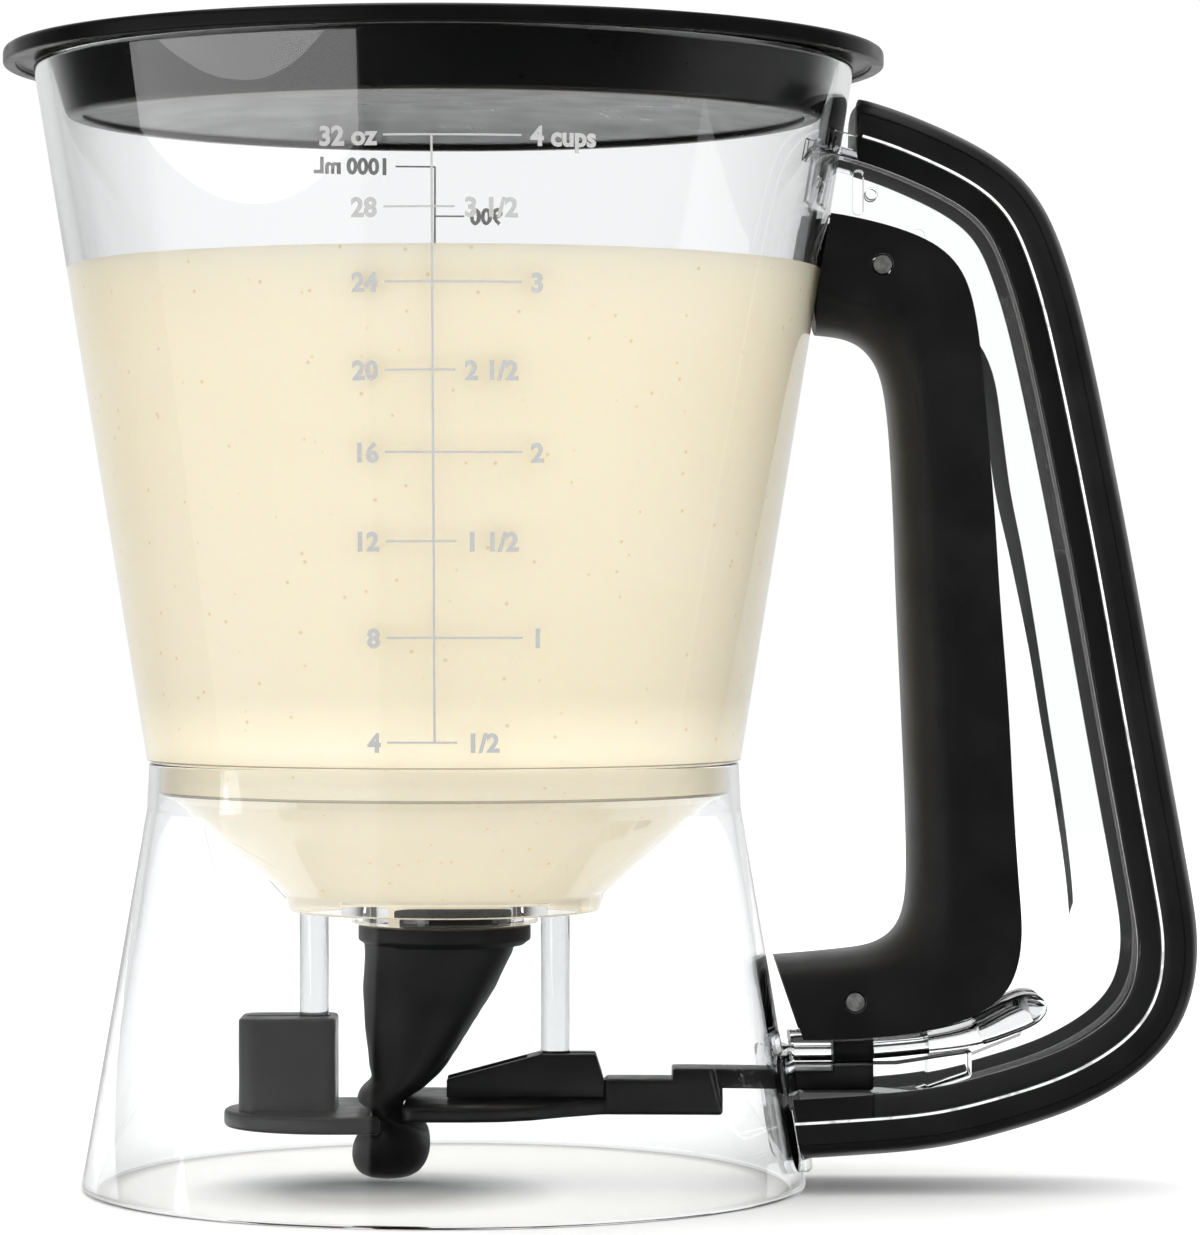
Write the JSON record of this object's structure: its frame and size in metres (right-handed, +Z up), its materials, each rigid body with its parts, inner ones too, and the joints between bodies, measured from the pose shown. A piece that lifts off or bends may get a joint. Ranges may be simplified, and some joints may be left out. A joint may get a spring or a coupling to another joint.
{
  "type": "pancake batter dispenser",
  "caption": "Clear conical batter jug on a flared skirt with a plug lid and a loop handle whose squeeze lever slides a jaw away from a pinched silicone spout.",
  "frame": {"origin": "middle of the base of the whole object's box, on the surface it stands on", "axes": "+X from the jug's axis towards the handle, +Z up, and the object is symmetric across Y apart from its hidden spring"},
  "size_m": [0.1904, 0.1404, 0.1813],
  "materials": {
    "clear_plastic": "clear gloss",
    "soft_grip": "soft-touch matt",
    "lever_plastic": "satin",
    "slider_plastic": "satin",
    "silicone": "matt",
    "lid_plastic": "gloss",
    "scale_ink": "printed light grey",
    "pin_steel": "dull"
  },
  "bodies": {
    "jug": {"vessel": "clear_plastic", "base_skirt": "clear_plastic", "handle_frame": "clear_plastic", "slide_rail": "clear_plastic", "handle_grip": "soft_grip", "pivot_pin": "pin_steel", "slider_guide": "slider_plastic", "fixed_jaw": "slider_plastic", "silicone_valve": "silicone", "return_spring": "pin_steel"},
    "lever": {"trigger_lever": "lever_plastic", "link_pin": "pin_steel"},
    "slider": {"pinch_slider": "slider_plastic"},
    "cover": {"lid": "lid_plastic"}
  },
  "joints": [
    {"name": "lever_squeeze", "type": "hinge", "parent": "jug", "child": "lever", "pos_m": [0.04446, 0, 0.1467], "axis": [0, -1, 0], "range_deg": [0, 4], "stiffness_Nm_per_rad": 0.09, "springref_deg": -45.84},
    {"name": "slider_travel", "type": "slide", "parent": "jug", "child": "slider", "axis": [1, 0, 0], "range_m": [0, 0.0083]},
    {"name": "lid_lift", "type": "slide", "parent": "jug", "child": "cover", "axis": [0, 0, 1], "range_m": [0, 0.04]}
  ],
  "couplings": [
    {"joint": "slider_travel", "follows": "lever_squeeze", "m_per_rad": 0.1164}
  ]
}
